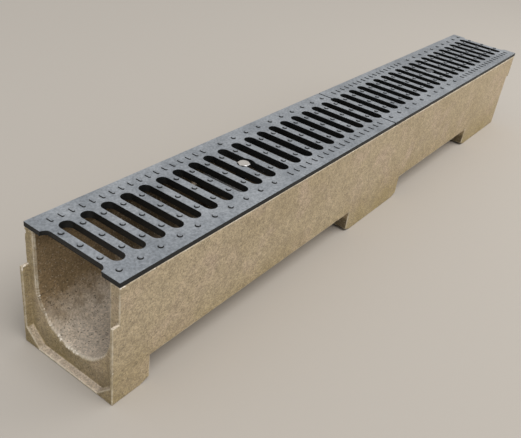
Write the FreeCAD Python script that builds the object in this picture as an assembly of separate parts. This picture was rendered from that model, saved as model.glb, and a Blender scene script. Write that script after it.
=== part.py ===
import FreeCAD, Part
import math
import os

from FreeCAD import Vector

# Linear drainage channel: a cast resin-concrete trough with two cast-iron slotted gratings,
# each held by one bolt that pulls a cross bar up into pockets in the trough walls.
# Millimetres. X runs along the channel, +Z is up, and the origin is the bottom centre of the whole part.
# The socket end is at -X and the spigot end at +X.

# Trough
laid_length = 1000.0  # run covered by one channel, without the socket lip
clear_width = 100.0
wall = 13.0
body_height = 134.5  # from the feet to the wall tops that carry the gratings
invert_height = 22.0  # lowest line of the bore above the feet
floor_thickness = 14.0  # under the invert, between the feet
haunch_height = 32.0  # lower edge of the side faces between the feet
keel_width = 50.0  # flat strip under the trough between the feet
mouth_chamfer = 1.5  # broken edge round the bore at both ends

# Feet, measured from the socket face
near_foot_length = 40.0
middle_foot_start = 416.0
middle_foot_length = 150.0
far_foot_start = 830.0
foot_bevel_run = 12.0
foot_bevel_rise = 4.0

# Socket lip at -X, and the spigot at +X that fits into the next channel's lip
lip_depth = 8.0
lip_wall = 3.5
lip_floor = 2.0
lip_height = 94.0
socket_chamfer = 18.0
socket_clearance = 1.0

# Gratings
grating_gap = 2.0  # between the two gratings
plate_thickness = 5.5  # margins that rest on the wall tops
bar_depth = 9.0
seat_clearance = 1.0  # between the step under a grating and each wall
slot_pitch_wanted = 25.0  # drawn in or out a little so that whole pitches fill a grating
slot_width = 14.6
slot_length = 80.0
slot_draft = 1.0  # each side of a slot opens by this much towards the underside
slot_end_flats = 6  # flats that make up each round end

# Anti-slip studs, eight-sided and tapered
stud_base = 6.8
stud_top = 4.4
stud_height = 1.6
stud_sides = 8
stud_spacing = 25.5  # across a bar
margin_stud_inset = 14.0  # from the outer edge of the plate

# Bolted lock in the middle of each grating
bolt_offset = -4.0  # from the middle of the grating towards the socket end
boss_diameter = 15.4
boss_depth = 16.0
arch_gap = 6.0  # width of the middle slot where it arches round the boss
bolt_diameter = 8.0
bolt_hole_clearance = 0.5
bolt_tail = 5.5  # thread below the cross bar
head_flats = 13.0
head_height = 5.3
head_rise = 1.0  # above the plate, less than the studs
washer_diameter = 15.0
washer_thickness = 1.6
washer_clearance = 0.2
recess_clearance = 0.6  # round the washer
cross_bar_depth = 32.0  # from the top of the grating to the top of the cross bar
cross_bar_width = 30.0
cross_bar_thickness = 8.0
cross_bar_bite = 7.0  # reach of each end into its wall pocket
pocket_clearance = 1.0
thread_clearance = 0.1

# Values that follow from the sizes above
body_width = clear_width + 2 * wall
overall_length = laid_length + lip_depth
socket_face = -overall_length / 2 + lip_depth
spigot_face = overall_length / 2
half_width = body_width / 2
half_clear = clear_width / 2
keel_height = invert_height - floor_thickness
bore_centre_height = invert_height + half_clear
top_height = body_height + plate_thickness
grating_length = (laid_length - grating_gap) / 2
half_run = laid_length / 4
pitches_each_way = round(half_run / slot_pitch_wanted)
slot_pitch = half_run / pitches_each_way
bolt_radius = bolt_diameter / 2
boss_radius = boss_diameter / 2
arch_radius = boss_radius + arch_gap
head_seat = top_height + head_rise - head_height
washer_seat = head_seat - washer_thickness
recess_radius = washer_diameter / 2 + recess_clearance
cross_bar_top = top_height - cross_bar_depth
cross_bar_bottom = cross_bar_top - cross_bar_thickness
cross_bar_radius = half_clear + cross_bar_bite
up = Vector(0, 0, 1)
along = Vector(1, 0, 0)
touching = 1e-6


def box(x0, x1, y0, y1, z0, z1):
    return Part.makeBox(x1 - x0, y1 - y0, z1 - z0, Vector(x0, y0, z0))


def section_prism(points, x0, x1):
    """Closed outline of (y, z) points, run from x0 to x1."""
    corners = [Vector(x0, y, z) for y, z in points]
    face = Part.Face(Part.makePolygon(corners + corners[:1]))
    return face.extrude(along * (x1 - x0))


def side_prism(points, y0, y1):
    """Closed outline of (x, z) points, run from y0 to y1."""
    corners = [Vector(x, y0, z) for x, z in points]
    face = Part.Face(Part.makePolygon(corners + corners[:1]))
    return face.extrude(Vector(0, y1 - y0, 0))


def tapered_solid(lower, upper):
    """Solid between two level outlines of matching points, with flat sides."""
    faces = [Part.Face(Part.makePolygon(ring + ring[:1])) for ring in (lower, upper)]
    for n in range(len(lower)):
        m = (n + 1) % len(lower)
        side = [lower[n], lower[m], upper[m], upper[n], lower[n]]
        faces.append(Part.Face(Part.makePolygon(side)))
    return Part.Solid(Part.Shell(faces))


def trough_shell():
    """Outer form between the feet: upright sides, sloped haunches and a flat keel."""
    half_keel = keel_width / 2
    outline = [
        (-half_width, body_height),
        (-half_width, haunch_height),
        (-half_keel, keel_height),
        (half_keel, keel_height),
        (half_width, haunch_height),
        (half_width, body_height),
    ]
    return section_prism(outline, socket_face, spigot_face)


def foot(x0, x1, bevel_near, bevel_far):
    """Full-width foot under the haunches, with a shallow bevel where it meets an open gap."""
    near_run = foot_bevel_run if bevel_near else 0
    far_run = foot_bevel_run if bevel_far else 0
    outline = [(x0, haunch_height)]
    if bevel_near:
        outline.append((x0, foot_bevel_rise))
    outline.append((x0 + near_run, 0))
    outline.append((x1 - far_run, 0))
    if bevel_far:
        outline.append((x1, foot_bevel_rise))
    outline.append((x1, haunch_height))
    return side_prism(outline, -half_width, half_width)


def socket_outline(inset):
    """Inner outline of the socket, drawn in by inset, with sloped lower corners, open at the top."""
    side = half_width - lip_wall - inset
    base = lip_floor + inset
    leg = socket_chamfer - inset * (2 - math.sqrt(2))
    return [
        (-side, body_height),
        (-side, base + leg),
        (-side + leg, base),
        (side - leg, base),
        (side, base + leg),
        (side, body_height),
    ]


def socket_lip():
    lip = box(socket_face - lip_depth, socket_face, -half_width, half_width, 0, lip_height)
    return lip.cut(section_prism(socket_outline(0), socket_face - lip_depth, socket_face))


def spigot_rebate():
    """What the spigot end lacks outside the outline that enters the next socket."""
    start = spigot_face - lip_depth - socket_clearance
    ring = box(start, spigot_face, -half_width, half_width, 0, lip_height + socket_clearance)
    return ring.cut(section_prism(socket_outline(socket_clearance), start, spigot_face))


def bore():
    """Half-round invert with upright walls above it, through the whole length."""
    x0 = socket_face
    left = Vector(x0, -half_clear, bore_centre_height)
    right = Vector(x0, half_clear, bore_centre_height)
    lowest = Vector(x0, 0, invert_height)
    right_top = Vector(x0, half_clear, body_height)
    left_top = Vector(x0, -half_clear, body_height)
    edges = [
        Part.Arc(left, lowest, right).toShape(),
        Part.LineSegment(right, right_top).toShape(),
        Part.LineSegment(right_top, left_top).toShape(),
        Part.LineSegment(left_top, left).toShape(),
    ]
    return Part.Face(Part.Wire(edges)).extrude(along * laid_length)


def on_mouth(edge, face_x):
    """True for an edge of the bore that lies on the end face at face_x."""
    bounds = edge.BoundBox
    flat = max(abs(bounds.XMin - face_x), abs(bounds.XMax - face_x)) < touching
    inside = max(abs(bounds.YMin), abs(bounds.YMax)) < half_clear + touching
    return flat and inside and bounds.ZMin > keel_height


def channel_body():
    middle_foot = socket_face + middle_foot_start
    body = trough_shell().multiFuse([
        foot(socket_face, socket_face + near_foot_length, False, True),
        foot(middle_foot, middle_foot + middle_foot_length, True, True),
        foot(socket_face + far_foot_start, spigot_face, True, False),
    ])
    body = body.cut(bore()).cut(spigot_rebate()).removeSplitter()
    mouth = [e for e in body.Edges if on_mouth(e, socket_face) or on_mouth(e, spigot_face)]
    body = body.makeChamfer(mouth_chamfer, mouth)
    pockets = [wall_pockets(x + bolt_offset) for x in grating_middles()]
    return body.fuse(socket_lip()).cut(pockets).removeSplitter()


def wall_pockets(x):
    """Round groove about the bolt axis that leaves a bow-shaped pocket in each wall."""
    depth = cross_bar_thickness + pocket_clearance
    return Part.makeCylinder(cross_bar_radius + pocket_clearance, depth, Vector(x, 0, cross_bar_top - depth))


def grating_middles():
    """X of the middle of the near and the far grating."""
    return [socket_face + grating_length / 2, spigot_face - grating_length / 2]


def obround(x, half_length, radius, z):
    """Slot outline across the channel, each round end divided into flats about the true arc."""
    step = math.pi / slot_end_flats
    corner = radius / math.cos(step / 2)
    reach = half_length - radius
    points = []
    for end in (1, -1):
        for n in range(slot_end_flats):
            angle = step * (n + 0.5)
            out = reach + corner * math.sin(angle)
            points.append(Vector(x + end * corner * math.cos(angle), end * out, z))
    return points


def slot(x):
    """Slot that widens towards the underside of the bars."""
    lower = obround(x, slot_length / 2 + slot_draft, slot_width / 2 + slot_draft, top_height - bar_depth)
    upper = obround(x, slot_length / 2, slot_width / 2, top_height)
    return tapered_solid(lower, upper)


def arch_cut(bolt_x, slot_x):
    """Half ring that carries the middle slot round the boss, on the far side of its bar."""
    bottom = top_height - bar_depth
    ring = Part.makeCylinder(arch_radius, bar_depth, Vector(bolt_x, 0, bottom))
    bar_edge = slot_x - slot_width / 2
    far_side = box(bar_edge, bar_edge + 2 * arch_radius, -arch_radius, arch_radius, bottom, top_height)
    return ring.common(far_side)


def stud_ring(x, y, diameter, z):
    ring = []
    for n in range(stud_sides):
        angle = 2 * math.pi * (n + 0.5) / stud_sides
        ring.append(Vector(x + diameter / 2 * math.cos(angle), y + diameter / 2 * math.sin(angle), z))
    return ring


def stud(x, y):
    """Tapered stud with flat sides, standing on the plate."""
    return tapered_solid(
        stud_ring(x, y, stud_base, top_height),
        stud_ring(x, y, stud_top, top_height + stud_height),
    )


def stud_places(middle_x):
    """Three studs on each bar and one on the margin beside it, on opposite halves of the two margins."""
    bolt_x = middle_x + bolt_offset
    margin_y = half_width - margin_stud_inset
    clear_of_arch = arch_radius + stud_base / 2
    places = []
    for n in range(-pitches_each_way, pitches_each_way):
        x = middle_x + (n + 0.5) * slot_pitch
        bar = [(x, row * stud_spacing) for row in (-1, 0, 1)]
        places += [p for p in bar if math.hypot(p[0] - bolt_x, p[1]) > clear_of_arch]
        places.append((x, -margin_y if n < 0 else margin_y))
    return places


def grating(middle_x):
    """One cast grating: plate with a deeper slotted field between its half slots, and a bolt boss."""
    x0 = middle_x - grating_length / 2
    x1 = middle_x + grating_length / 2
    bolt_x = middle_x + bolt_offset
    half_field = half_clear - seat_clearance
    plate = box(x0, x1, -half_width, half_width, body_height, top_height)
    half_slot = slot_width / 2
    field = box(
        x0 + half_slot, x1 - half_slot,
        -half_field, half_field,
        top_height - bar_depth, top_height,
    )
    cuts = [slot(middle_x + n * slot_pitch) for n in range(-pitches_each_way, pitches_each_way + 1)]
    cuts.append(arch_cut(bolt_x, middle_x))
    boss = Part.makeCylinder(boss_radius, boss_depth, Vector(bolt_x, 0, top_height - boss_depth))
    recess = Part.makeCylinder(recess_radius, top_height - washer_seat, Vector(bolt_x, 0, washer_seat))
    hole_radius = bolt_radius + bolt_hole_clearance
    hole = Part.makeCylinder(hole_radius, boss_depth, Vector(bolt_x, 0, top_height - boss_depth))
    casting = plate.fuse(field).cut(cuts).fuse(boss).cut([recess, hole])
    studs = [stud(x, y) for x, y in stud_places(middle_x)]
    return casting.multiFuse(studs).removeSplitter()


def bolt(middle_x):
    """Hexagon-head bolt, head sunk in its recess and thread through the cross bar."""
    x = middle_x + bolt_offset
    corner = head_flats / math.sqrt(3)
    rim = []
    for n in range(6):
        angle = math.pi * n / 3
        rim.append(Vector(x + corner * math.cos(angle), corner * math.sin(angle), head_seat))
    head = Part.Face(Part.makePolygon(rim + rim[:1])).extrude(up * head_height)
    tip = cross_bar_bottom - bolt_tail
    shank = Part.makeCylinder(bolt_radius, head_seat - tip, Vector(x, 0, tip))
    return head.fuse(shank).removeSplitter()


def washer(middle_x):
    x = middle_x + bolt_offset
    base = Vector(x, 0, washer_seat)
    disc = Part.makeCylinder(washer_diameter / 2, washer_thickness, base)
    return disc.cut(Part.makeCylinder(bolt_radius + washer_clearance, washer_thickness, base))


def cross_bar(middle_x):
    """Flat bar with ends rounded about the bolt axis, so that it turns into its pockets."""
    x = middle_x + bolt_offset
    base = Vector(x, 0, cross_bar_bottom)
    half_bar = cross_bar_width / 2
    strip = box(
        x - half_bar, x + half_bar,
        -cross_bar_radius, cross_bar_radius,
        cross_bar_bottom, cross_bar_top,
    )
    swept = strip.common(Part.makeCylinder(cross_bar_radius, cross_bar_thickness, base))
    return swept.cut(Part.makeCylinder(bolt_radius + thread_clearance, cross_bar_thickness, base))


def main():
    os.makedirs("parts", exist_ok=True)
    near, far = grating_middles()
    pieces = {
        "channel_body": channel_body(),
        "near_grating": grating(near),
        "far_grating": grating(far),
        "near_cross_bar": cross_bar(near),
        "far_cross_bar": cross_bar(far),
        "grating_bolts": Part.makeCompound([bolt(near), bolt(far)]),
        "bolt_washers": Part.makeCompound([washer(near), washer(far)]),
    }
    for name, shape in pieces.items():
        shape.exportStep("parts/" + name + ".step")
        print(name, len(shape.Solids), "solids", round(shape.Volume / 1000.0, 1), "cm3", shape.isValid())


main()
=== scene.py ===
import math
import bmesh
import bpy
from mathutils import Matrix, Vector, kdtree, noise


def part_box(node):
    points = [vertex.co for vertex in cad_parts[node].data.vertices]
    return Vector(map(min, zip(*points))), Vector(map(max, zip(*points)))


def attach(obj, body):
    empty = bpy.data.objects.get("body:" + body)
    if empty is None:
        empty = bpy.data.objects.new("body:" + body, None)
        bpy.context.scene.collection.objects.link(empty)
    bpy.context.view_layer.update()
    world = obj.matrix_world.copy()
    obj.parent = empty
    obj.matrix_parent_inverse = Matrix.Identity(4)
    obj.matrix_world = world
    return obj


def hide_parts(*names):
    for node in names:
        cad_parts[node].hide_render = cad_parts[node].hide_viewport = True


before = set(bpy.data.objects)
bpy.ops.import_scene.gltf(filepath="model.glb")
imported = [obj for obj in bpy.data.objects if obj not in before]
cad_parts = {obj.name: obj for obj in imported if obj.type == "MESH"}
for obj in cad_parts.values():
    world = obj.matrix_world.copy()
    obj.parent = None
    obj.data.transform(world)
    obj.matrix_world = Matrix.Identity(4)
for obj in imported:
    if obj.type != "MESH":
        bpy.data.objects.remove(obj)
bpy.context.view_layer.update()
mm = 0.001
print("frame loaded with", len(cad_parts), "nodes")


# node trees, for geometry and for materials alike
class TreeMaker:
    def __init__(self, tree):
        self.tree = tree

    def add(self, kind, inputs=None, **props):
        node = self.tree.nodes.new(kind)
        for key, value in props.items():
            setattr(node, key, value)
        for key, value in (inputs or {}).items():
            for source in value if isinstance(value, list) else [value]:
                self.plug(source, node.inputs[key])
        return node

    # links a socket, or sets a plain value
    def plug(self, source, target):
        if isinstance(source, bpy.types.NodeSocket):
            self.tree.links.new(source, target)
        else:
            target.default_value = source

    def maths(self, operation, a, b=0.0):
        return self.add("ShaderNodeMath", {0: a, 1: b}, operation=operation).outputs[0]

    def plus(self, a, b):
        return self.maths("ADD", a, b)

    def minus(self, a, b):
        return self.maths("SUBTRACT", a, b)

    def times(self, a, b):
        return self.maths("MULTIPLY", a, b)

    def vector(self, x, y, z):
        return self.add("ShaderNodeCombineXYZ", {0: x, 1: y, 2: z}).outputs[0]

    # 1 where the backdrop is looked at, straight or in a reflection
    def lookedAt(self):
        path = self.add("ShaderNodeLightPath").outputs
        seen = self.maths("MAXIMUM", path["Is Camera Ray"], path["Is Glossy Ray"])
        return self.maths("MAXIMUM", seen, path["Is Transmission Ray"])


class ShapeMaker(TreeMaker):
    # one geometry tree, with a named input for each of its sizes
    def __init__(self, name, sizes, onMesh=False):
        super().__init__(bpy.data.node_groups.new(name, "GeometryNodeTree"))
        if onMesh:
            self.tree.interface.new_socket("Onto", in_out="INPUT", socket_type="NodeSocketGeometry")
        for label, value in sizes.items():
            kind = "NodeSocketInt" if isinstance(value, int) else "NodeSocketFloat"
            self.tree.interface.new_socket(label, in_out="INPUT", socket_type=kind)
        self.tree.interface.new_socket("Mesh", in_out="OUTPUT", socket_type="NodeSocketGeometry")
        self.size = self.add("NodeGroupInput").outputs

    def half(self, value):
        return self.times(value, 0.5)

    def moved(self, shape, x, y, z, turn=0.0):
        place = {0: shape, "Translation": self.vector(x, y, z), "Rotation": (0, 0, turn)}
        return self.add("GeometryNodeTransform", place).outputs[0]

    def block(self, x, y, z, topZ):
        cube = self.add("GeometryNodeMeshCube", {"Size": self.vector(x, y, z)}).outputs[0]
        return self.moved(cube, 0.0, 0.0, self.minus(topZ, self.half(z)))

    # round bar standing on z, its foot and its head of different radius if asked
    def turned(self, sides, foot, head, height, x, z, turn=0.0):
        sizes = {"Vertices": sides, "Radius Bottom": foot, "Radius Top": head, "Depth": height}
        cone = self.add("GeometryNodeMeshCone", sizes).outputs[0]
        return self.moved(cone, x, 0.0, z, turn)

    # pulled out both ways across the channel, from a round into a long shape
    def stretched(self, shape, reach):
        spot = self.add("GeometryNodeInputPosition").outputs[0]
        across = self.add("ShaderNodeSeparateXYZ", {0: spot}).outputs[1]
        pull = self.vector(0.0, self.times(self.maths("SIGN", across), reach), 0.0)
        return self.add("GeometryNodeSetPosition", {0: shape, "Offset": pull}).outputs[0]

    def join(self, shapes):
        return self.add("GeometryNodeJoinGeometry", {0: shapes}).outputs[0]

    def combine(self, operation, first, others):
        if operation == "DIFFERENCE":
            inputs = {0: first, 1: others}
        else:
            inputs = {1: [first] + others}
        boolean = self.add("GeometryNodeMeshBoolean", inputs, operation=operation, solver="EXACT")
        boolean.inputs["Self Intersection"].default_value = True
        return boolean.outputs[0]

    def welded(self, shape, distance):
        return self.add("GeometryNodeMergeByDistance", {0: shape, "Distance": distance}).outputs[0]

    def row(self, count, start, step):
        line = {"Count": count, "Start Location": start, "Offset": step}
        return self.add("GeometryNodeMeshLine", line, mode="OFFSET").outputs[0]

    def placed(self, points, shape):
        copies = self.add("GeometryNodeInstanceOnPoints", {"Points": points, "Instance": shape})
        return self.add("GeometryNodeRealizeInstances", {0: copies.outputs[0]}).outputs[0]

    def finish(self, shape, material):
        real = self.add("GeometryNodeRealizeInstances", {0: shape}).outputs[0]
        coloured = self.add("GeometryNodeSetMaterial", {0: real, "Material": material}).outputs[0]
        self.add("NodeGroupOutput", {0: coloured})
        return self.tree


def newPiece(name, mesh=None):
    piece = bpy.data.objects.new(name, mesh or bpy.data.meshes.new(name))
    bpy.context.scene.collection.objects.link(piece)
    return piece


def growShape(piece, tree, sizes):
    modifier = piece.modifiers.new(tree.name, "NODES")
    modifier.node_group = tree
    for item in tree.interface.items_tree:
        if item.in_out == "INPUT" and item.name in sizes:
            modifier[item.identifier] = sizes[item.name]
    return piece


edgeRounds = {
    "casting": 0.5 * mm,
    "bolt": 0.25 * mm,
    "washer": 0.2 * mm,
    "bar": 0.8 * mm,
    "sharperThan": math.radians(32),
}


def softenEdges(piece, width, steps=2):
    bevel = piece.modifiers.new("edges", "BEVEL")
    bevel.width = width
    bevel.segments = steps
    bevel.limit_method = "ANGLE"
    bevel.angle_limit = edgeRounds["sharperThan"]
    bevel.use_clamp_overlap = False


def evenFlats(piece):
    flats = piece.modifiers.new("flats", "WEIGHTED_NORMAL")
    flats.keep_sharp = True


# modifiers turned into a plain mesh
def freeze(piece):
    bpy.context.view_layer.update()
    graph = bpy.context.evaluated_depsgraph_get()
    mesh = bpy.data.meshes.new_from_object(
        piece.evaluated_get(graph), preserve_all_data_layers=True, depsgraph=graph
    )
    piece.modifiers.clear()
    piece.data = mesh
    mesh.name = piece.name
    return piece


mending = {
    "sliverWidth": 0.04 * mm,
    "tornGap": 0.5 * mm,
    "copyGap": 0.005 * mm,
    "flatAngle": math.radians(0.5),
}


# many-sided faces cut up, and slivers that lie back to back taken out
def evenFaces(bm):
    manySided = [f for f in bm.faces if len(f.verts) > 4]
    bmesh.ops.triangulate(bm, faces=manySided, ngon_method="BEAUTY")
    sameCorners = {}
    for face in bm.faces:
        sameCorners.setdefault(frozenset(face.verts), []).append(face)
    slivers = [f for faces in sameCorners.values() if len(faces) > 1 for f in faces]
    bmesh.ops.delete(bm, geom=slivers, context="FACES")


# vertices that the cuts left torn or doubled are drawn together
def mendSeams(piece):
    bm = bmesh.new()
    bm.from_mesh(piece.data)
    bmesh.ops.dissolve_degenerate(bm, edges=bm.edges, dist=mending["sliverWidth"])
    torn = {v for e in bm.edges if len(e.link_faces) != 2 for v in e.verts}
    bmesh.ops.remove_doubles(bm, verts=list(torn), dist=mending["tornGap"])
    midEdge = [v for v in bm.verts if len(v.link_edges) == 2]
    bmesh.ops.dissolve_verts(bm, verts=midEdge)
    evenFaces(bm)
    bm.to_mesh(piece.data)
    bm.free()


def handOver(piece, slotName, *nodes):
    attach(piece, "root")
    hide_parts(*nodes)
    print(piece.name, "made,", len(piece.data.polygons), "faces")


# copy of a CAD node with its triangles joined up and its flats made whole again
def joinedCopy(node):
    bm = bmesh.new()
    bm.from_mesh(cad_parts[node].data)
    bmesh.ops.remove_doubles(bm, verts=bm.verts, dist=mending["copyGap"])
    bmesh.ops.dissolve_limit(bm, angle_limit=mending["flatAngle"], verts=bm.verts, edges=bm.edges)
    return bm


# materials
class FinishMaker(TreeMaker):
    def __init__(self, name):
        self.material = bpy.data.materials.new(name)
        self.material.use_nodes = True
        super().__init__(self.material.node_tree)
        self.shader = self.tree.nodes["Principled BSDF"]
        self.place = self.add("ShaderNodeTexCoord").outputs["Object"]

    def clouds(self, scale, detail=3.0, roughness=0.55):
        sizes = {"Vector": self.place, "Scale": scale, "Detail": detail, "Roughness": roughness}
        return self.add("ShaderNodeTexNoise", sizes).outputs[0]

    # one random grey for each grain
    def grains(self, scale):
        cells = self.add("ShaderNodeTexVoronoi", {"Vector": self.place, "Scale": scale})
        return self.add("ShaderNodeSeparateColor", {0: cells.outputs["Color"]}).outputs[0]

    # the few grains whose random grey is above the share, each an uneven spot of its own size
    def specks(self, scale, share):
        sizes = {"Vector": self.place, "Scale": scale * 1.3, "Detail": 2.0}
        swirl = self.add("ShaderNodeTexNoise", sizes).outputs["Color"]
        sway = {0: swirl, "Scale": 1.1 / scale}
        shift = self.add("ShaderNodeVectorMath", sway, operation="SCALE").outputs[0]
        bent = self.add("ShaderNodeVectorMath", {0: self.place, 1: shift}, operation="ADD").outputs[0]
        cells = self.add("ShaderNodeTexVoronoi", {"Vector": bent, "Scale": scale})
        parts = self.add("ShaderNodeSeparateColor", {0: cells.outputs["Color"]}).outputs
        edge = self.spread(parts[2], 0.0, 1.0, 0.15, 0.5)
        spot = self.maths("LESS_THAN", cells.outputs["Distance"], edge)
        return self.times(self.spread(parts[1], share, share + 0.02), spot)

    def painted(self, name):
        return self.add("ShaderNodeAttribute", attribute_name=name).outputs["Fac"]

    def spread(self, value, low, high, toLow=0.0, toHigh=1.0):
        span = {0: value, 1: low, 2: high, 3: toLow, 4: toHigh}
        return self.add("ShaderNodeMapRange", span, interpolation_type="SMOOTHSTEP").outputs[0]

    def mix(self, amount, first, second, blend="MIX"):
        sides = {0: amount, 6: first, 7: second}  # where a colour mix has its sockets
        return self.add("ShaderNodeMix", sides, data_type="RGBA", blend_type=blend).outputs[2]

    def tone(self, value):
        return self.add("ShaderNodeCombineColor", {0: value, 1: value, 2: value}).outputs[0]

    def give(self, socket, value):
        self.plug(value, self.shader.inputs[socket])

    def bump(self, height, strength, distance):
        sizes = {"Height": height, "Strength": strength, "Distance": distance}
        self.give("Normal", self.add("ShaderNodeBump", sizes).outputs[0])


concreteFinish = {
    "sand": (0.44, 0.35, 0.227, 1),
    "darkSand": (0.395, 0.31, 0.193, 1),
    "pinkSand": (0.465, 0.358, 0.253, 1),
    # pale bottom of the bore is painted light; the dark brown of its walls is painted shade
    "litBoreFloor": (0.68, 0.575, 0.46, 1),
    "shadedBoreTop": (0.255, 0.178, 0.094, 1),
    "olive": (0.33, 0.255, 0.122, 1),
    # painted shade colour for the undersides of the trough and its feet
    "paintedShade": (0.10, 0.077, 0.046, 1),
    # pale dust colour, which on upward faces is partly painted light from above
    "paleDustAndLight": (0.60, 0.495, 0.385, 1),
    "darkGrain": (0.05, 0.037, 0.024, 1),
    "paleGrain": (0.66, 0.58, 0.45, 1),
    # pale of rubbed edges, also used for the painted highlight band along the top
    "rubbedAndHighlitEdge": (0.70, 0.62, 0.48, 1),
    "freshChip": (0.92, 0.83, 0.70, 1),
    "grainSize": 1.5 * mm,
    "paleSize": 1.6 * mm,
    "darkSize": 2.0 * mm,
    "chipSize": 2.6 * mm,
    "reliefDepth": 0.4 * mm,
    # cloud patterns, counted per metre
    "patches": 9.0,
    "blush": 21.0,
    "oliveBlotches": 16.0,
    "dustBlotches": 60.0,
    "shadeEdgeBlotches": 70.0,
    "mottle": 150.0,
    "relief": 800.0,
    # from where to where each mark comes in, by height, along or across
    "oliveHeight": (70 * mm, 0 * mm),
    "dampAcross": (48 * mm, 58 * mm),
    "dampAlong": (-485 * mm, -498 * mm),
    "paintedShadeHeight": (24 * mm, 16 * mm),
    "footEnds": (460 * mm, 490 * mm),
    "mouthLightReach": (330 * mm, 480 * mm),
    "shadeEdgeHeight": (12 * mm, 61 * mm),
    "shadeEdgeSway": (-9 * mm, 9 * mm),
    "topHighlightHeight": (122 * mm, 130 * mm),
    "topHighlightAlong": (-100 * mm, 300 * mm),
}


def resinConcrete():
    s = concreteFinish
    f = FinishMaker("resinConcrete")
    inBore = f.painted("bore")
    along, across, height = f.add("ShaderNodeSeparateXYZ", {0: f.place}).outputs
    fromMiddle = f.maths("ABSOLUTE", along)
    facing = f.add("ShaderNodeNewGeometry").outputs["Normal"]
    sideways, upward = f.add("ShaderNodeSeparateXYZ", {0: facing}).outputs[1:]
    colour = f.mix(f.spread(f.clouds(s["patches"], 4.0), 0.35, 0.68), s["sand"], s["darkSand"])
    colour = f.mix(f.spread(f.clouds(s["blush"]), 0.45, 0.75), colour, s["pinkSand"])
    blotches = f.spread(f.clouds(s["oliveBlotches"]), 0.3, 0.7, 0.4, 1.0)
    low = f.times(f.spread(height, *s["oliveHeight"]), blotches)
    colour = f.mix(low, colour, s["olive"])
    # damp patch on one side of the socket; painted shade under the trough and on the ends of its feet
    damp = f.times(f.spread(across, *s["dampAcross"]), f.spread(along, *s["dampAlong"], 0.0, 0.5))
    colour = f.mix(damp, colour, s["olive"])
    # painted shade: faces near the floor that look neither sideways nor up are darkened, more so
    # inwards of the foot ends
    notSide = f.spread(f.maths("ABSOLUTE", sideways), 0.5, 0.2)
    under = f.times(notSide, f.spread(upward, 0.5, 0.2))
    under = f.times(under, f.spread(height, *s["paintedShadeHeight"]))
    under = f.times(under, f.spread(fromMiddle, *s["footEnds"], 0.8, 0.25))
    colour = f.mix(under, colour, s["paintedShade"])
    # upward faces paled in patches: partly dust, partly painted light falling from above
    patchy = f.clouds(s["dustBlotches"], 4.0)
    dustAndUpLight = f.times(f.spread(upward, 0.4, 0.9), f.spread(patchy, 0.25, 0.6, 0.7, 1.0))
    colour = f.mix(dustAndUpLight, colour, s["paleDustAndLight"])
    # painted light: the bore is pale at the bottom and up one side
    # painted shade: its walls turn dark brown higher up, and darker away from the ends
    mouthLight = f.spread(fromMiddle, *s["mouthLightReach"], 0.28, 1.0)
    walls = f.mix(1.0, s["shadedBoreTop"], f.tone(mouthLight), "MULTIPLY")
    sway = f.spread(f.clouds(s["shadeEdgeBlotches"], 5.0, 0.65), 0.2, 0.8, *s["shadeEdgeSway"])
    lean = f.times(f.maths("MINIMUM", across, 0.0), 0.35)
    shadeEdge = f.plus(f.plus(height, sway), lean)
    bore = f.mix(f.spread(shadeEdge, *s["shadeEdgeHeight"]), s["litBoreFloor"], walls)
    colour = f.mix(inBore, colour, bore)
    grain = f.grains(1 / s["grainSize"])
    mottle = f.spread(f.clouds(s["mottle"], 4.0, 0.65), 0.2, 0.8, 0.84, 1.16)
    shade = f.times(f.spread(grain, 0.0, 1.0, 0.80, 1.20), mottle)
    colour = f.mix(1.0, colour, f.tone(shade), "MULTIPLY")
    stronger = f.spread(inBore, 0.0, 1.0, 0.35, 0.6)
    dark = f.times(f.specks(1 / s["darkSize"], 0.78), stronger)
    pale = f.times(f.specks(1 / s["paleSize"], 0.8), 0.3)
    colour = f.mix(dark, colour, s["darkGrain"])
    colour = f.mix(pale, colour, s["paleGrain"])
    # edges rubbed pale; along the top of the walls a painted highlight band, wider towards the spigot
    # end
    arris = f.painted("arris")
    topHighlight = f.times(f.spread(height, *s["topHighlightHeight"]), f.spread(along, *s["topHighlightAlong"], 0.0, 0.3))
    rubbedAndHighlit = f.spread(f.plus(arris, topHighlight), 0.5, 0.85, 0.0, 0.8)
    rubbedAndHighlit = f.times(rubbedAndHighlit, f.spread(patchy, 0.3, 0.65, 0.25, 1.0))
    colour = f.mix(rubbedAndHighlit, colour, s["rubbedAndHighlitEdge"])
    crumbs = f.plus(f.clouds(1 / s["chipSize"], 3.0, 0.6), f.clouds(0.3 / s["chipSize"], 2.0))
    broken = f.plus(crumbs, f.times(f.painted("knock"), 0.4))
    chips = f.times(f.spread(broken, 1.24, 1.3), f.spread(arris, 0.5, 0.65))
    colour = f.mix(chips, colour, s["freshChip"])
    f.give("Base Color", colour)
    f.give("Roughness", f.spread(grain, 0.0, 1.0, 0.78, 0.95))
    f.give("Specular IOR Level", 0.3)
    f.bump(f.plus(f.times(grain, 0.5), f.clouds(s["relief"], 2.0)), 0.4, s["reliefDepth"])
    return f.material


ironFinish = {
    # greys for what faces up, partly a painted sky reflection
    "skyReflectedTop": (0.20, 0.215, 0.232, 1),
    "skyReflectedDustyTop": (0.295, 0.308, 0.322, 1),
    "coating": (0.011, 0.012, 0.012, 1),
    "castGrain": 1.6 * mm,
    "grainDepth": 0.25 * mm,
    "blotches": 24.0,  # per metre, as the next
    "wearSpots": 330.0,
}


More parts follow.
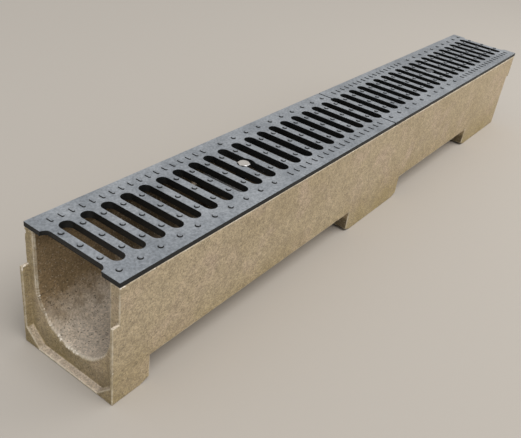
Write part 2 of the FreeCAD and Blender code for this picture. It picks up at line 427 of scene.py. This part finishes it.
# dark dip coating, with a grey on what faces up that is partly a walked and rained bloom and partly a
# painted sky reflection
def coatedIron():
    s = ironFinish
    f = FinishMaker("coatedIron")
    facing = f.add("ShaderNodeNewGeometry").outputs["Normal"]
    upward = f.add("ShaderNodeSeparateXYZ", {0: facing}).outputs[2]
    blotch = f.clouds(s["blotches"], 5.0, 0.65)
    top = f.mix(f.spread(blotch, 0.32, 0.7), s["skyReflectedTop"], s["skyReflectedDustyTop"])
    shade = f.spread(f.clouds(s["wearSpots"], 4.0, 0.7), 0.25, 0.75, 0.70, 1.28)
    top = f.mix(1.0, top, f.tone(shade), "MULTIPLY")
    # faces that look up get the grey, partly painted sky reflection; the sides keep the dark coating
    f.give("Base Color", f.mix(f.spread(upward, 0.5, 0.95), s["coating"], top))
    f.give("Roughness", f.spread(blotch, 0.3, 0.75, 0.42, 0.6))
    f.give("Specular IOR Level", 0.25)
    f.bump(f.clouds(1 / s["castGrain"]), 0.25, s["grainDepth"])
    return f.material


platedFinish = {
    "bright": (0.88, 0.90, 0.93, 1),
    "brightShade": (0.78, 0.80, 0.84, 1),
    # painted dark reflection for the far bolt
    "dulled": (0.18, 0.20, 0.23, 1),
    "brushing": 900.0,  # per metre
    "brushDepth": 0.05 * mm,
}


def platedSteel():
    s = platedFinish
    f = FinishMaker("platedSteel")
    # the far bolt is painted dark and rougher, a painted reflection of darker surroundings
    darkReflected = f.painted("dulled")
    brushed = f.clouds(s["brushing"], 2.0)
    bright = f.mix(f.spread(brushed, 0.3, 0.7), s["bright"], s["brightShade"])
    f.give("Base Color", f.mix(darkReflected, bright, s["dulled"]))
    f.give("Metallic", 1.0)
    f.give("Roughness", f.plus(f.spread(brushed, 0.2, 0.8, 0.24, 0.36), f.times(darkReflected, 0.2)))
    f.bump(brushed, 0.1, s["brushDepth"])
    return f.material


zincFinish = {
    "darkSpangle": (0.42, 0.43, 0.44, 1),
    "paleSpangle": (0.56, 0.57, 0.58, 1),
    "spangles": 120.0,  # per metre, as the next
    "ripples": 300.0,
    "rippleDepth": 0.1 * mm,
}


def galvanisedSteel():
    s = zincFinish
    f = FinishMaker("galvanisedSteel")
    spangle = f.grains(s["spangles"])
    f.give("Base Color", f.mix(spangle, s["darkSpangle"], s["paleSpangle"]))
    f.give("Metallic", 0.85)
    f.give("Roughness", f.spread(spangle, 0.0, 1.0, 0.42, 0.58))
    f.bump(f.clouds(s["ripples"]), 0.12, s["rippleDepth"])
    return f.material


concrete = resinConcrete()
iron = coatedIron()
plated = platedSteel()
galvanised = galvanisedSteel()
print("materials made")


# gratings: plate, deeper slotted field and bolt boss, then studs and tread ribs, all one casting
gratingSizes = {
    "plateThickness": 5.5 * mm,
    "barDepth": 9 * mm,
    "fieldWidth": 98 * mm,
    "slotPitch": 25 * mm,
    "slotCount": 21,
    "slotWidth": 14.6 * mm,
    "slotLength": 80 * mm,
    "slotDraft": 1 * mm,
    "studBase": 6.8 * mm,
    "studTop": 4.4 * mm,
    "studHeight": 1.6 * mm,
    "studRound": 0.4 * mm,
    "studSpacing": 25.5 * mm,
    "studMargin": 49 * mm,
    "ribPitch": 12.5 * mm,
    "ribCount": 18,
    "ribLength": 9 * mm,
    "ribWidth": 4.2 * mm,
    "ribTop": 2.4 * mm,
    "ribHeight": 1.0 * mm,
    "boltOffset": -4 * mm,
    "bossWidth": 15.4 * mm,
    "bossDepth": 16 * mm,
    "archGap": 6 * mm,
    "recessWidth": 16.2 * mm,
    "recessDepth": 5.9 * mm,
    "holeWidth": 9 * mm,
}
gratingPlace = {"length": 0.0, "width": 0.0, "middleX": 0.0, "topZ": 0.0}
slotSides = 32
studSides = 14
ribSides = 12
roundSides = 48
studFlare = 1.6  # slope of the flatter cone on a stud
overshoot = 1 * mm  # how far a cutter stands clear of what it cuts
sunk = 0.5 * mm  # root of a stud or rib inside the plate
crossing = 0.7 * mm  # keeps two cuts from only grazing each other
weldGap = 0.05 * mm
fineGap = 0.01 * mm


def slotCutters(t):
    size = t.size
    slope = t.maths("DIVIDE", size["slotDraft"], size["barDepth"])
    spare = t.times(slope, overshoot)
    head = t.minus(t.half(size["slotWidth"]), spare)
    foot = t.plus(t.plus(t.half(size["slotWidth"]), size["slotDraft"]), spare)
    height = t.plus(size["barDepth"], 2 * overshoot)
    footZ = t.minus(-overshoot, size["barDepth"])
    plug = t.turned(slotSides, foot, head, height, 0.0, footZ, math.pi / slotSides)
    cutter = t.stretched(plug, t.half(t.minus(size["slotLength"], size["slotWidth"])))
    halfRow = t.half(t.minus(size["slotCount"], 1))
    firstX = t.times(halfRow, t.times(size["slotPitch"], -1.0))
    points = t.row(size["slotCount"], t.vector(firstX, 0.0, 0.0), t.vector(size["slotPitch"], 0.0, 0.0))
    return t.placed(points, cutter)


def archRadius(t):
    return t.plus(t.half(t.size["bossWidth"]), t.size["archGap"])


# half ring that carries the middle slot round the boss
def archCutter(t):
    size = t.size
    radius = archRadius(t)
    height = t.plus(size["barDepth"], 2 * overshoot)
    footZ = t.minus(-overshoot, size["barDepth"])
    ring = t.turned(roundSides, radius, radius, height, size["boltOffset"], footZ)
    reach = t.times(radius, 2.2)  # a cube wider than the ring
    side = t.add("GeometryNodeMeshCube", {"Size": t.vector(reach, reach, reach)}).outputs[0]
    barEdge = t.plus(t.minus(t.half(reach), t.half(size["slotWidth"])), crossing)
    return t.combine("INTERSECT", ring, [t.moved(side, barEdge, 0.0, 0.0)])


def castingTree():
    t = ShapeMaker("slottedCasting", {**gratingSizes, **gratingPlace})
    size = t.size
    plate = t.block(size["length"], size["width"], size["plateThickness"], 0.0)
    inPlate = t.times(size["plateThickness"], -0.5)
    endSlots = t.plus(size["slotWidth"], t.times(size["slotDraft"], 2.0))
    fieldLength = t.minus(t.minus(size["length"], endSlots), 2 * crossing)
    fieldDepth = t.plus(size["barDepth"], inPlate)
    field = t.block(fieldLength, size["fieldWidth"], fieldDepth, inPlate)
    casting = t.combine("UNION", plate, [field])
    casting = t.combine("DIFFERENCE", casting, [slotCutters(t), archCutter(t)])
    bossRadius = t.half(size["bossWidth"])
    bossZ = t.times(size["bossDepth"], -1.0)
    boss = t.turned(roundSides, bossRadius, bossRadius, size["bossDepth"], size["boltOffset"], bossZ)
    casting = t.welded(t.combine("UNION", casting, [boss]), weldGap)
    return t.finish(t.moved(casting, size["middleX"], 0.0, size["topZ"]), iron)


# rows along one half of each margin, on opposite halves of the two margins
def marginRows(t, count, step, firstX, backX):
    along = t.vector(step, 0.0, 0.0)
    front = t.vector(firstX, t.times(t.size["studMargin"], -1.0), 0.0)
    back = t.vector(backX, t.size["studMargin"], 0.0)
    return [t.row(count, front, along), t.row(count, back, along)]


def studs(t):
    size = t.size
    bars = t.minus(size["slotCount"], 1)
    run = t.times(size["slotPitch"], t.minus(bars, 1))
    grid = {
        "Size X": run,
        "Size Y": t.times(size["studSpacing"], 2.0),
        "Vertices X": bars,
        "Vertices Y": 3,
    }
    field = t.add("GeometryNodeMeshGrid", grid).outputs[0]
    spot = t.add("GeometryNodeInputPosition").outputs[0]
    toBolt = {0: spot, 1: t.vector(size["boltOffset"], 0.0, 0.0)}
    gap = t.add("ShaderNodeVectorMath", toBolt, operation="DISTANCE").outputs["Value"]
    onArch = t.maths("LESS_THAN", gap, t.plus(archRadius(t), t.half(size["studBase"])))
    unwanted = {0: field, "Selection": onArch}
    field = t.add("GeometryNodeDeleteGeometry", unwanted, domain="POINT").outputs[0]
    firstX = t.times(run, -0.5)
    margins = marginRows(t, t.half(bars), size["slotPitch"], firstX, t.half(size["slotPitch"]))
    height = t.plus(size["studHeight"], sunk)
    cone = t.turned(studSides, t.half(size["studBase"]), t.half(size["studTop"]), height, 0.0, -sunk)
    # a flatter cone takes the edge off the top
    rim = t.minus(t.half(size["studTop"]), size["studRound"])
    flare = t.plus(rim, t.times(height, studFlare))
    stud = t.combine("INTERSECT", cone, [t.turned(studSides, flare, rim, height, 0.0, -sunk)])
    return t.placed(t.join([field] + margins), t.welded(stud, weldGap))


# low ribs square to the edge, on the halves of the margins that have no studs
def ribs(t):
    size = t.size
    height = t.plus(size["ribHeight"], sunk)
    foot = t.half(size["ribWidth"])
    head = t.half(size["ribTop"])
    peg = t.turned(ribSides, foot, head, height, 0.0, -sunk, math.pi / ribSides)
    rib = t.stretched(peg, t.half(t.minus(size["ribLength"], size["ribWidth"])))
    halfRun = t.half(t.times(size["ribPitch"], t.minus(size["ribCount"], 1)))
    middle = t.half(t.half(size["length"]))
    frontX = t.minus(middle, halfRun)
    backX = t.minus(t.times(middle, -1.0), halfRun)
    return t.placed(t.join(marginRows(t, size["ribCount"], size["ribPitch"], frontX, backX)), rib)


# seat of the bolt head and its washer, and the hole under it
def boltSeat(t):
    size = t.size
    recessRadius = t.half(size["recessWidth"])
    recessHeight = t.plus(size["recessDepth"], overshoot)
    recessZ = t.times(size["recessDepth"], -1.0)
    recess = t.turned(roundSides, recessRadius, recessRadius, recessHeight, size["boltOffset"], recessZ)
    holeRadius = t.half(size["holeWidth"])
    holeZ = t.minus(-overshoot, size["bossDepth"])
    hole = t.turned(roundSides, holeRadius, holeRadius, size["bossDepth"], size["boltOffset"], holeZ)
    return [recess, hole]


# added and cut once the edges of the casting are rounded
def treadTree():
    t = ShapeMaker("studsAndRibs", {**gratingSizes, **gratingPlace}, onMesh=True)
    size = t.size
    place = (size["middleX"], 0.0, size["topZ"])
    treads = [t.moved(shape, *place) for shape in (studs(t), ribs(t))]
    seat = [t.moved(shape, *place) for shape in boltSeat(t)]
    casting = t.combine("UNION", size["Onto"], treads)
    casting = t.combine("DIFFERENCE", casting, seat)
    return t.finish(t.welded(casting, fineGap), iron)


castingNodes = castingTree()
treadNodes = treadTree()
for side in ("near", "far"):
    node = side + "_grating"
    low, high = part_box(node)
    place = {
        "length": high.x - low.x,
        "width": high.y - low.y,
        "middleX": (low.x + high.x) / 2,
        "topZ": high.z - gratingSizes["studHeight"],
    }
    casting = growShape(newPiece(side + "_grating_casting"), castingNodes, {**gratingSizes, **place})
    softenEdges(casting, edgeRounds["casting"])
    growShape(casting, treadNodes, {**gratingSizes, **place})
    mendSeams(freeze(casting))
    evenFlats(casting)
    handOver(freeze(casting), "black_iron", node)


# bolts: chamfered hexagon heads, plain shanks and rolled threads
boltSizes = {
    "flats": 13 * mm,
    "headHeight": 5.3 * mm,
    "headFlat": 12.35 * mm,
    "shankWidth": 8 * mm,
    "plainShank": 14 * mm,
    "threadPitch": 1.25 * mm,
    "threadDepth": 0.45 * mm,
}
boltPlace = {"firstX": 0.0, "spacing": 0.0, "tipZ": 0.0, "topZ": 0.0}
threadSteps = 28  # in each turn
ridgeSides = 4


def boltTree():
    t = ShapeMaker("gratingBolts", {**boltSizes, **boltPlace})
    size = t.size
    seat = t.minus(size["topZ"], size["headHeight"])
    corner = t.times(size["flats"], 1 / math.sqrt(3))
    hexagon = t.turned(6, corner, corner, size["headHeight"], 0.0, seat)
    # a thirty degree cone trims the corners
    coneHead = t.half(size["headFlat"])
    coneFoot = t.plus(coneHead, t.times(size["headHeight"], math.sqrt(3)))
    cone = t.turned(roundSides, coneFoot, coneHead, size["headHeight"], 0.0, seat)
    head = t.welded(t.combine("INTERSECT", hexagon, [cone]), weldGap)
    radius = t.half(size["shankWidth"])
    plainZ = t.minus(seat, size["plainShank"])
    plain = t.turned(roundSides, radius, radius, t.plus(size["plainShank"], sunk), 0.0, plainZ)
    rootRadius = t.minus(radius, size["threadDepth"])
    threadRun = t.minus(plainZ, size["tipZ"])
    core = t.turned(roundSides, rootRadius, rootRadius, t.plus(threadRun, sunk), 0.0, size["tipZ"])
    ridgeRun = t.minus(threadRun, size["threadPitch"])
    spiral = {
        "Resolution": threadSteps,
        "Rotations": t.maths("DIVIDE", ridgeRun, size["threadPitch"]),
        "Start Radius": rootRadius,
        "End Radius": rootRadius,
        "Height": ridgeRun,
    }
    path = t.add("GeometryNodeCurveSpiral", spiral).outputs[0]
    section = {"Resolution": ridgeSides, "Radius": size["threadDepth"]}
    ridge = t.add("GeometryNodeCurvePrimitiveCircle", section).outputs[0]
    tube = {"Curve": path, "Profile Curve": ridge, "Fill Caps": True}
    thread = t.add("GeometryNodeCurveToMesh", tube).outputs[0]
    threadZ = t.plus(size["tipZ"], t.half(size["threadPitch"]))
    bolt = t.join([head, plain, core, t.moved(thread, 0.0, 0.0, threadZ)])
    points = t.row(2, t.vector(size["firstX"], 0.0, 0.0), t.vector(size["spacing"], 0.0, 0.0))
    copies = t.add("GeometryNodeInstanceOnPoints", {"Points": points, "Instance": bolt}).outputs[0]
    # 0 on the near bolt and 1 on the far one
    number = t.add("GeometryNodeInputIndex").outputs[0]
    # the far bolt is marked for its painted dark reflection
    reflectionMark = {0: copies, "Name": "dulled", "Value": number}
    bolts = t.add("GeometryNodeStoreNamedAttribute", reflectionMark, data_type="FLOAT", domain="INSTANCE")
    return t.finish(bolts.outputs[0], plated)


boltLow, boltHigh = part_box("grating_bolts")
headCorner = boltSizes["flats"] / math.sqrt(3)
boltRow = {
    "firstX": boltLow.x + headCorner,
    "spacing": boltHigh.x - boltLow.x - 2 * headCorner,
    "tipZ": boltLow.z,
    "topZ": boltHigh.z,
}
bolts = growShape(newPiece("grating_bolts_threaded"), boltTree(), {**boltSizes, **boltRow})
softenEdges(bolts, edgeRounds["bolt"], steps=1)
evenFlats(bolts)
handOver(freeze(bolts), "bright_steel", "grating_bolts")


# plain bars and washers keep their form and get broken edges
def bevelledCopy(name, node, material, edge):
    bm = joinedCopy(node)
    mesh = bpy.data.meshes.new(name)
    bm.to_mesh(mesh)
    bm.free()
    mesh.materials.append(material)
    piece = newPiece(name, mesh)
    softenEdges(piece, edge)
    evenFlats(piece)
    return freeze(piece)


washers = bevelledCopy("bolt_washers_flat", "bolt_washers", plated, edgeRounds["washer"])
handOver(washers, "bright_steel", "bolt_washers")
for side in ("near", "far"):
    node = side + "_cross_bar"
    bar = bevelledCopy(node + "_zinc", node, galvanised, edgeRounds["bar"])
    handOver(bar, "galvanised_steel", node)


# trough: softened arrises, chips along them and a slightly uneven cast face
troughSizes = {
    "arris": 1.1 * mm,
    "arrisAngle": math.radians(28),
    "arrisStep": 2 * mm,
    "crease": math.radians(42),
    "stepAlong": 6 * mm,
    "nearStep": 3 * mm,
    "nearReach": 60 * mm,
    "stepAcross": 8 * mm,
    "edgeBands": (2 * mm, 5 * mm),
    "mouthReach": 24 * mm,
    "mouthBand": 6 * mm,
    "mouthEdge": 1.2 * mm,
    "doubleGap": 0.03 * mm,
    "sliverWidth": 0.02 * mm,
    "boreRadius": 50 * mm,
    "boreCentreZ": 72 * mm,
    "boreSlack": 0.4 * mm,
    "boreRim": 1 * mm,
    "wallTopZ": 134.5 * mm,
    "lipTopZ": 94 * mm,
    "haunchZ": 32 * mm,
    "lipDepth": 8 * mm,
    "wall": 13 * mm,
    "chipReach": 3.5 * mm,
    "chipDepth": 1.6 * mm,
    "chipScale": 90.0,  # per metre
    "chipLayers": (  # finer by, shifted by, share
        (1.0, (0, 0, 0), 0.6),
        (3.1, (7, 3, 5), 0.4),
        (6.3, (2, 9, 4), 0.4),
    ),
    "chipAbove": 0.28,
    "chipGain": 2.0,
    "knockShare": 0.6,
    "uneven": 0.15 * mm,
    "unevenScale": 35.0,
    "calmReach": 6 * mm,
    "knocks": (  # place and reach in mm, strength
        ((-500, 62, 93), 8, 0.7),
        ((-500, -62, 93), 7, 0.8),
        ((-496, 49, 82), 16, 0.2),
        ((-496, 46, 54), 16, 0.3),
        ((-496, 37, 38), 16, 0.4),
        ((-496, 20, 27), 16, 0.6),
        ((-496, 5, 22), 14, 0.65),
        ((-496, -14, 24), 14, 0.65),
        ((-496, -63, 133), 14, 0.45),
        ((-496, 63, 133), 14, 0.45),
    ),
}


def sharpEdges(bm, angle):
    return [e for e in bm.edges if len(e.link_faces) == 2 and e.calc_face_angle(0) > angle]


def sliced(bm, places, axis):
    direction = Vector((0, 0, 0))
    direction[axis] = 1
    for place in sorted(set(places)):
        plane = {"plane_co": direction * place, "plane_no": direction, "dist": 1e-7}
        bmesh.ops.bisect_plane(bm, geom=bm.verts[:] + bm.edges[:] + bm.faces[:], **plane)


def stepped(low, high, step):
    count = round((high - low) / step)
    return [low + (high - low) * n / count for n in range(1, count)]


def banded(edges):
    return [e + sign * band for e in edges for band in troughSizes["edgeBands"] for sign in (-1, 1)]


# the same order on every run, so that the mending goes the same way
def sortByPlace(bm):
    skew = Vector((1.0, 17.3, 293.7))  # spots close together don't lie level along it
    bm.verts.sort(key=lambda v: v.co.dot(skew))
    bm.edges.sort(key=lambda e: (e.verts[0].co + e.verts[1].co).dot(skew))
    bm.faces.sort(key=lambda f: f.calc_center_median().dot(skew))


# points along the outer corners, to ask how far a spot is from an arris
def arrisTree(edges):
    points = []
    for edge in edges:
        if edge.calc_face_angle_signed(0) < 0:  # inner corners don't chip
            continue
        a, b = (v.co.copy() for v in edge.verts)
        count = max(2, int((a - b).length / troughSizes["arrisStep"]))
        points += [a.lerp(b, n / count) for n in range(count + 1)]
    tree = kdtree.KDTree(len(points))
    for n, point in enumerate(points):
        tree.insert(point, n)
    tree.balance()
    return tree


def troughMesh():
    s = troughSizes
    low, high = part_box("channel_body")
    bm = joinedCopy("channel_body")
    bm.normal_update()
    sharp = sharpEdges(bm, s["arrisAngle"])
    arrises = arrisTree(sharp)
    bmesh.ops.bevel(
        bm, geom=sharp, offset=s["arris"], offset_type="OFFSET", segments=2, profile=0.5,
        affect="EDGES", clamp_overlap=True,
    )
    outer = high.y
    inner = outer - s["wall"]
    heights = banded([s["wallTopZ"], s["lipTopZ"], s["haunchZ"], low.z])
    sliced(bm, stepped(low.z, high.z, s["stepAcross"]) + heights, 2)
    sides = banded([-outer, outer, -inner, inner])
    sliced(bm, stepped(low.y, high.y, s["stepAcross"]) + sides, 1)
    near = stepped(low.x, low.x + s["nearReach"], s["nearStep"])
    far = stepped(low.x + s["nearReach"], high.x, s["stepAlong"])
    sliced(bm, near + far + banded([low.x + s["lipDepth"], high.x]), 0)
    # finer faces along the edges of the socket, where most of the chips are
    mouthEnd = low.x + s["mouthReach"]
    atMouth = [v for v in bm.verts if v.co.x < mouthEnd]
    byEdge = {v for v in atMouth if arrises.find(v.co)[2] < s["mouthBand"]}
    close = [e for e in bm.edges if byEdge.issuperset(e.verts) and e.calc_length() > s["mouthEdge"]]
    bmesh.ops.subdivide_edges(bm, edges=close, cuts=2, use_grid_fill=True)
    sortByPlace(bm)
    bmesh.ops.remove_doubles(bm, verts=bm.verts, dist=s["doubleGap"])
    bmesh.ops.dissolve_degenerate(bm, edges=bm.edges, dist=s["sliverWidth"])
    evenFaces(bm)
    bmesh.ops.recalc_face_normals(bm, faces=bm.faces)
    return bm, arrises


def knocked(spot):
    most = 0.0
    for place, reach, strength in troughSizes["knocks"]:
        away = (spot - Vector(place) * mm).length / (reach * mm)
        most = max(most, strength * (1 - away))
    return most


# how deep the concrete is chipped, from 0 to 1
def bitten(spot, knock):
    s = troughSizes
    crumble = 0.0
    for finer, shift, share in s["chipLayers"]:
        crumble += share * noise.noise(spot * s["chipScale"] * finer + Vector(shift))
    bite = max(0.0, crumble - s["chipAbove"] + knock * s["knockShare"])
    return min(1.0, bite * s["chipGain"])


def roughen(bm, arrises):
    s = troughSizes
    rimRadius = s["boreRadius"] + s["boreRim"]
    low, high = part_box("channel_body")
    knockLayer = bm.verts.layers.float.new("knock")
    arrisLayer = bm.verts.layers.float.new("arris")
    boreLayer = bm.verts.layers.float.new("bore")
    bm.normal_update()
    shifts = []
    for vert in bm.verts:
        spot = vert.co
        # back onto the true round of the bore
        off = math.hypot(spot.y, spot.z - s["boreCentreZ"])
        inBore = spot.z < s["boreCentreZ"] and abs(off - s["boreRadius"]) < s["boreSlack"]
        if inBore and vert.normal.x ** 2 < 0.1:  # not on the end faces
            vert.co.y *= s["boreRadius"] / off
            vert.co.z = s["boreCentreZ"] + (spot.z - s["boreCentreZ"]) * s["boreRadius"] / off
        distance = arrises.find(vert.co)[2]
        nearEdge = max(0.0, 1 - distance / s["chipReach"])
        knock = knocked(vert.co)
        chip = bitten(vert.co, knock) * nearEdge
        vert[knockLayer] = knock
        vert[arrisLayer] = nearEdge
        inRound = off < rimRadius
        aboveRound = spot.z >= s["boreCentreZ"]
        vert[boreLayer] = float(abs(spot.y) < rimRadius and (inRound or aboveRound))
        calm = min(1.0, distance / s["calmReach"])
        wobble = noise.noise(vert.co * s["unevenScale"]) * s["uneven"] * calm
        shifts.append(vert.normal * (-chip * s["chipDepth"] - abs(wobble)))
    for vert, shift in zip(bm.verts, shifts):
        vert.co += shift
        for axis in range(3):
            vert.co[axis] = min(max(vert.co[axis], low[axis]), high[axis])


bm, arrises = troughMesh()
roughen(bm, arrises)
mesh = bpy.data.meshes.new("channel_body_cast")
bm.to_mesh(mesh)
bm.free()
mesh.materials.append(concrete)
mesh.shade_smooth()
mesh.set_sharp_from_angle(angle=troughSizes["crease"])
trough = newPiece("channel_body_cast", mesh)
handOver(trough, "resin_concrete", "channel_body")


# floor, light and camera
stageSettings = {
    "floorSize": 40.0,
    "floorColour": (0.49, 0.443, 0.386, 1),
    "skyColour": (0.93, 0.96, 1.0, 1),
    "skyStrength": 0.62,
    "backColour": (0.55, 0.505, 0.445, 1),
    "fadeFrom": 1.2,
    "fadeTo": 5.0,
    "lamps": {  # place, size, power
        "key": ((-0.6, -3.0, 6.2), 4.5, 260.0),
        "fill": ((1.2, -0.9, 0.9), 1.0, 6.0),
    },
}


def makeFloor():
    s = stageSettings
    bm = bmesh.new()
    bmesh.ops.create_grid(bm, x_segments=1, y_segments=1, size=s["floorSize"] / 2)
    mesh = bpy.data.meshes.new("floor")
    bm.to_mesh(mesh)
    bm.free()
    f = FinishMaker("paleFloor")
    f.give("Base Color", s["floorColour"])
    f.give("Roughness", 0.9)
    f.give("Specular IOR Level", 0.2)
    # away from the channel the floor fades into the backdrop
    away = f.add("ShaderNodeVectorMath", {0: f.place}, operation="LENGTH").outputs["Value"]
    fade = f.times(f.lookedAt(), f.spread(away, s["fadeFrom"], s["fadeTo"]))
    glow = f.add("ShaderNodeEmission", {"Color": s["backColour"]})
    faded = f.add("ShaderNodeMixShader", {0: fade, 1: f.shader.outputs[0], 2: glow.outputs[0]})
    f.tree.links.new(faded.outputs[0], f.tree.nodes["Material Output"].inputs[0])
    mesh.materials.append(f.material)
    floor = newPiece("floor", mesh)


def makeSky():
    s = stageSettings
    world = bpy.data.worlds.new("studio")
    world.use_nodes = True
    t = TreeMaker(world.node_tree)
    sky = world.node_tree.nodes["Background"]
    sky.inputs[0].default_value = s["skyColour"]
    sky.inputs[1].default_value = s["skyStrength"]
    back = t.add("ShaderNodeBackground", {0: s["backColour"], 1: 1.0})
    mixed = t.add("ShaderNodeMixShader", {0: t.lookedAt(), 1: sky.outputs[0], 2: back.outputs[0]})
    world.node_tree.links.new(mixed.outputs[0], world.node_tree.nodes["World Output"].inputs[0])
    bpy.context.scene.world = world


def makeLamps():
    for name, (place, size, power) in stageSettings["lamps"].items():
        lamp = bpy.data.lights.new(name, "AREA")
        lamp.size = size
        lamp.energy = power
        lampObject = bpy.data.objects.new(name, lamp)
        lampObject.location = place
        lampObject.rotation_euler = (-Vector(place)).to_track_quat("-Z", "Y").to_euler()
        bpy.context.scene.collection.objects.link(lampObject)


cameraSettings = {
    "place": (-0.7993, -0.3827, 0.4906),
    "azimuth": math.radians(57.47),  # turned from +Y towards +X
    "fall": math.radians(32.17),
    "roll": math.radians(8.32),
    "lens": 46.18,
}


def makeCamera():
    s = cameraSettings
    flat = math.cos(s["fall"])
    forward = Vector((
        flat * math.sin(s["azimuth"]),
        flat * math.cos(s["azimuth"]),
        -math.sin(s["fall"]),
    ))
    level = forward.cross(Vector((0, 0, 1))).normalized()
    right = level * math.cos(s["roll"]) + level.cross(forward) * math.sin(s["roll"])
    upward = right.cross(forward)
    lens = bpy.data.cameras.new("view")
    lens.lens = s["lens"]
    camera = bpy.data.objects.new("view", lens)
    turn = Matrix((right, upward, -forward)).transposed()
    camera.matrix_world = Matrix.Translation(s["place"]) @ turn.to_4x4()
    bpy.context.scene.collection.objects.link(camera)
    bpy.context.scene.camera = camera


makeFloor()
makeSky()
makeLamps()
makeCamera()
bpy.context.scene.view_settings.view_transform = "Standard"
print("floor, light and camera made")
